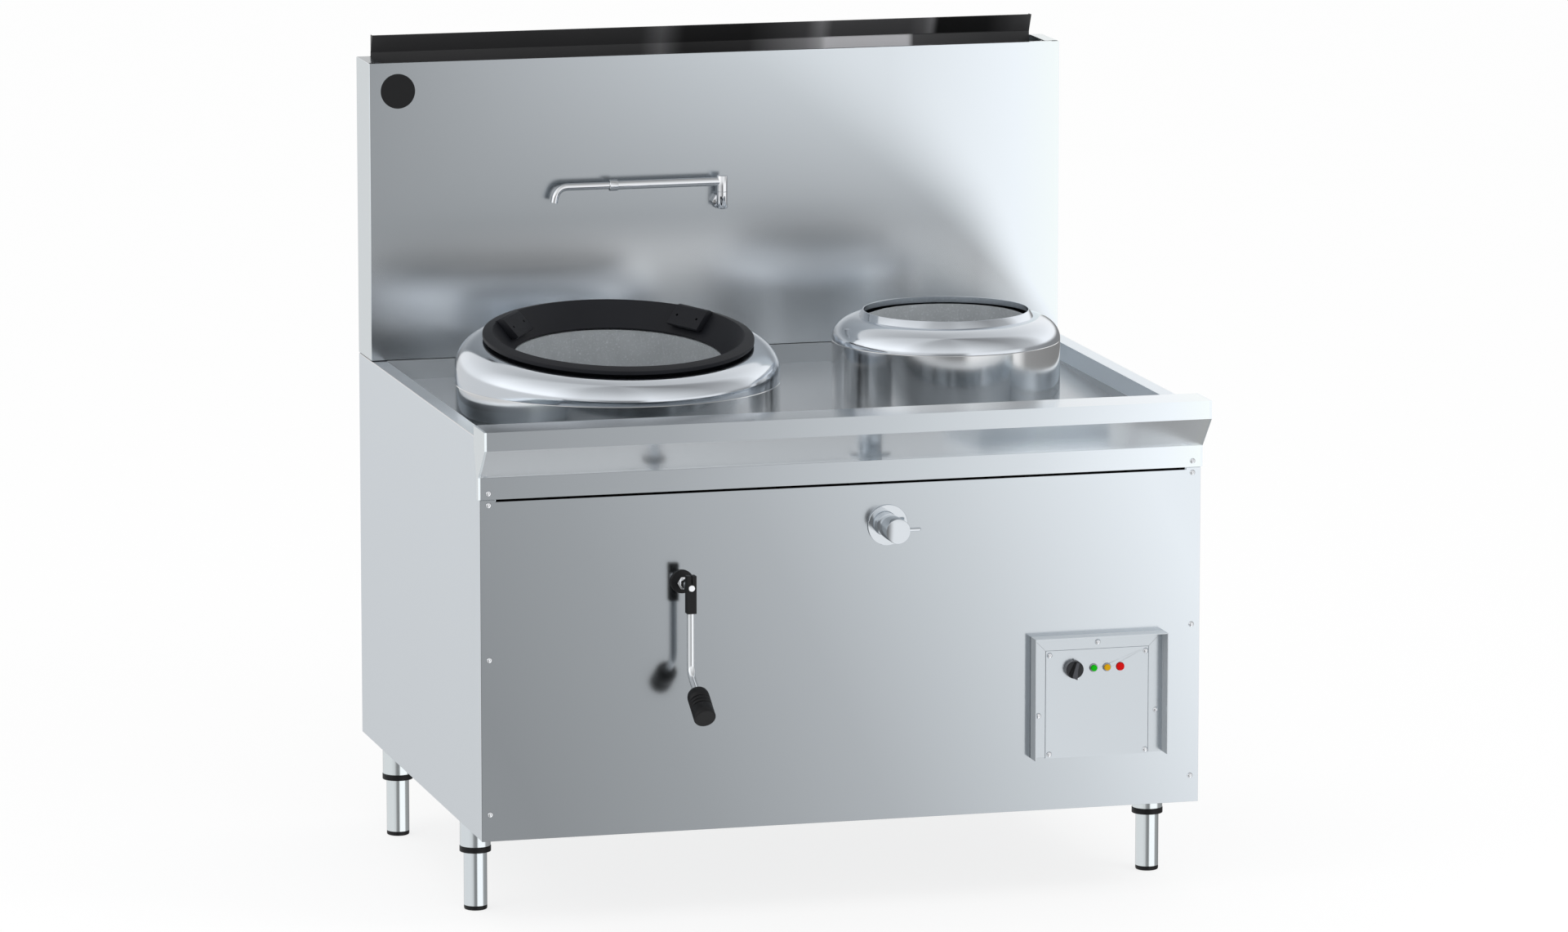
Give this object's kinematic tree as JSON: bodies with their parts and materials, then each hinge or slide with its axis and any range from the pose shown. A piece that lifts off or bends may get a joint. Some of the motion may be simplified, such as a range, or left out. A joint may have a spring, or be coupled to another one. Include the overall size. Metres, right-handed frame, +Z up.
{
  "type": "wok range",
  "caption": "Free-standing gas wok range: sloped deck with a raised wok place and a pot ring, splashback with swing spout, knee lever, tap and guarded controls.",
  "frame": {"origin": "middle of the footprint, on the floor, between the knee grip's tip and the rear face", "axes": "+X to the cook's right, +Y towards the wall behind, +Z up"},
  "size_m": [1.206, 1.0608, 1.3411],
  "materials": {
    "panel_steel": "brushed stainless sheet with soft blurred reflections",
    "polished_steel": "mirror-polished stainless",
    "black_steel": "black semi-gloss",
    "black_plate": "plain dark round plate",
    "cast_iron": "matt black cast iron",
    "refractory": "grey fired lining, rough and grainy",
    "brass": "satin brass",
    "copper": "drawn copper tube",
    "bright_chrome": "bright chrome plating",
    "rod_steel": "satin stainless bar",
    "leg_steel": "satin stainless tube",
    "black_plastic": "black moulded plastic",
    "grey_plastic": "grey moulded plastic",
    "green_lens": "clear green lens",
    "amber_lens": "clear amber lens",
    "red_button": "red button"
  },
  "bodies": {
    "cabinet": {"left_side_panel": "panel_steel", "right_side_panel": "panel_steel", "front_panel": "panel_steel", "rear_panel": "panel_steel", "base_pan": "panel_steel", "front_rail": "panel_steel", "deck_tray": "panel_steel", "splashback_shell": "panel_steel", "splashback_back": "panel_steel", "flue_deflector": "black_steel", "badge_plate": "black_plate", "left_burner_housing": "polished_steel", "left_refractory": "refractory", "burner_head": "cast_iron", "pilot_assembly": "brass", "right_pot_housing": "polished_steel", "right_refractory": "refractory", "right_hearth": "refractory", "cross_flue_duct": "panel_steel", "rear_flue_duct": "panel_steel", "flue_riser_duct": "panel_steel", "gas_inlet_pipe": "copper", "gas_valve_block": "brass", "knee_valve_body": "brass", "burner_feed_pipe": "copper", "tap_valve_body": "brass", "water_inlet_pipe": "copper", "water_riser_pipe": "copper", "valve_escutcheon": "black_plastic", "tap_escutcheon": "bright_chrome", "spout_wall_elbow": "bright_chrome", "control_guard": "panel_steel", "control_plate": "panel_steel", "control_box": "panel_steel", "selector_bezel": "grey_plastic", "green_lamp": "green_lens", "amber_lamp": "amber_lens", "leg_sleeve_front_left": "leg_steel", "leg_sleeve_front_right": "leg_steel", "leg_sleeve_rear_left": "leg_steel", "leg_sleeve_rear_right": "leg_steel"},
    "lever": {"lever_shaft": "bright_chrome", "lever_clamp": "black_plastic", "lever_rod": "rod_steel", "lever_grip": "black_plastic"},
    "tap": {"tap_knob": "bright_chrome"},
    "spout": {"spout_column": "bright_chrome", "spout_arm": "bright_chrome"},
    "spout_tip": {"spout_tip": "bright_chrome"},
    "selector": {"selector_knob": "black_plastic"},
    "reset": {"reset_button": "red_button"},
    "ring": {"wok_ring": "cast_iron"},
    "leg_front_left": {"leg_insert_front_left": "leg_steel", "foot_front_left": "black_plastic"},
    "leg_front_right": {"leg_insert_front_right": "leg_steel", "foot_front_right": "black_plastic"},
    "leg_rear_left": {"leg_insert_rear_left": "leg_steel", "foot_rear_left": "black_plastic"},
    "leg_rear_right": {"leg_insert_rear_right": "leg_steel", "foot_rear_right": "black_plastic"}
  },
  "joints": [
    {"name": "leg_front_left_screw", "type": "slide", "parent": "cabinet", "child": "leg_front_left", "axis": [0, 0, -1], "range_m": [0, 0.04]},
    {"name": "leg_front_right_screw", "type": "slide", "parent": "cabinet", "child": "leg_front_right", "axis": [0, 0, -1], "range_m": [0, 0.04]},
    {"name": "leg_rear_left_screw", "type": "slide", "parent": "cabinet", "child": "leg_rear_left", "axis": [0, 0, -1], "range_m": [0, 0.04]},
    {"name": "leg_rear_right_screw", "type": "slide", "parent": "cabinet", "child": "leg_rear_right", "axis": [0, 0, -1], "range_m": [0, 0.04]},
    {"name": "ring_lift", "type": "slide", "parent": "cabinet", "child": "ring", "axis": [0, -0.1132, 0.9936], "range_m": [0, 0.12]},
    {"name": "knee_lever_swing", "type": "hinge", "parent": "cabinet", "child": "lever", "pos_m": [-0.2695, -0.37456, 0.558], "axis": [0, -1, 0], "range_deg": [0, 90]},
    {"name": "tap_turn", "type": "hinge", "parent": "cabinet", "child": "tap", "pos_m": [0.072, -0.37456, 0.634], "axis": [0, 1, 0], "range_deg": [0, 90]},
    {"name": "spout_swing", "type": "hinge", "parent": "cabinet", "child": "spout", "pos_m": [0, 0.40044, 1.08], "axis": [0, 0, 1], "range_deg": [0, 180]},
    {"name": "spout_extend", "type": "slide", "parent": "spout", "child": "spout_tip", "axis": [-1, 0, 0], "range_m": [-0.06, 0.06]},
    {"name": "selector_turn", "type": "hinge", "parent": "cabinet", "child": "selector", "pos_m": [0.385, -0.37456, 0.382], "axis": [0, 1, 0], "range_deg": [0, 180]},
    {"name": "reset_press", "type": "slide", "parent": "cabinet", "child": "reset", "axis": [0, 1, 0], "range_m": [0, 0.0025], "stiffness_N_per_m": 800}
  ]
}
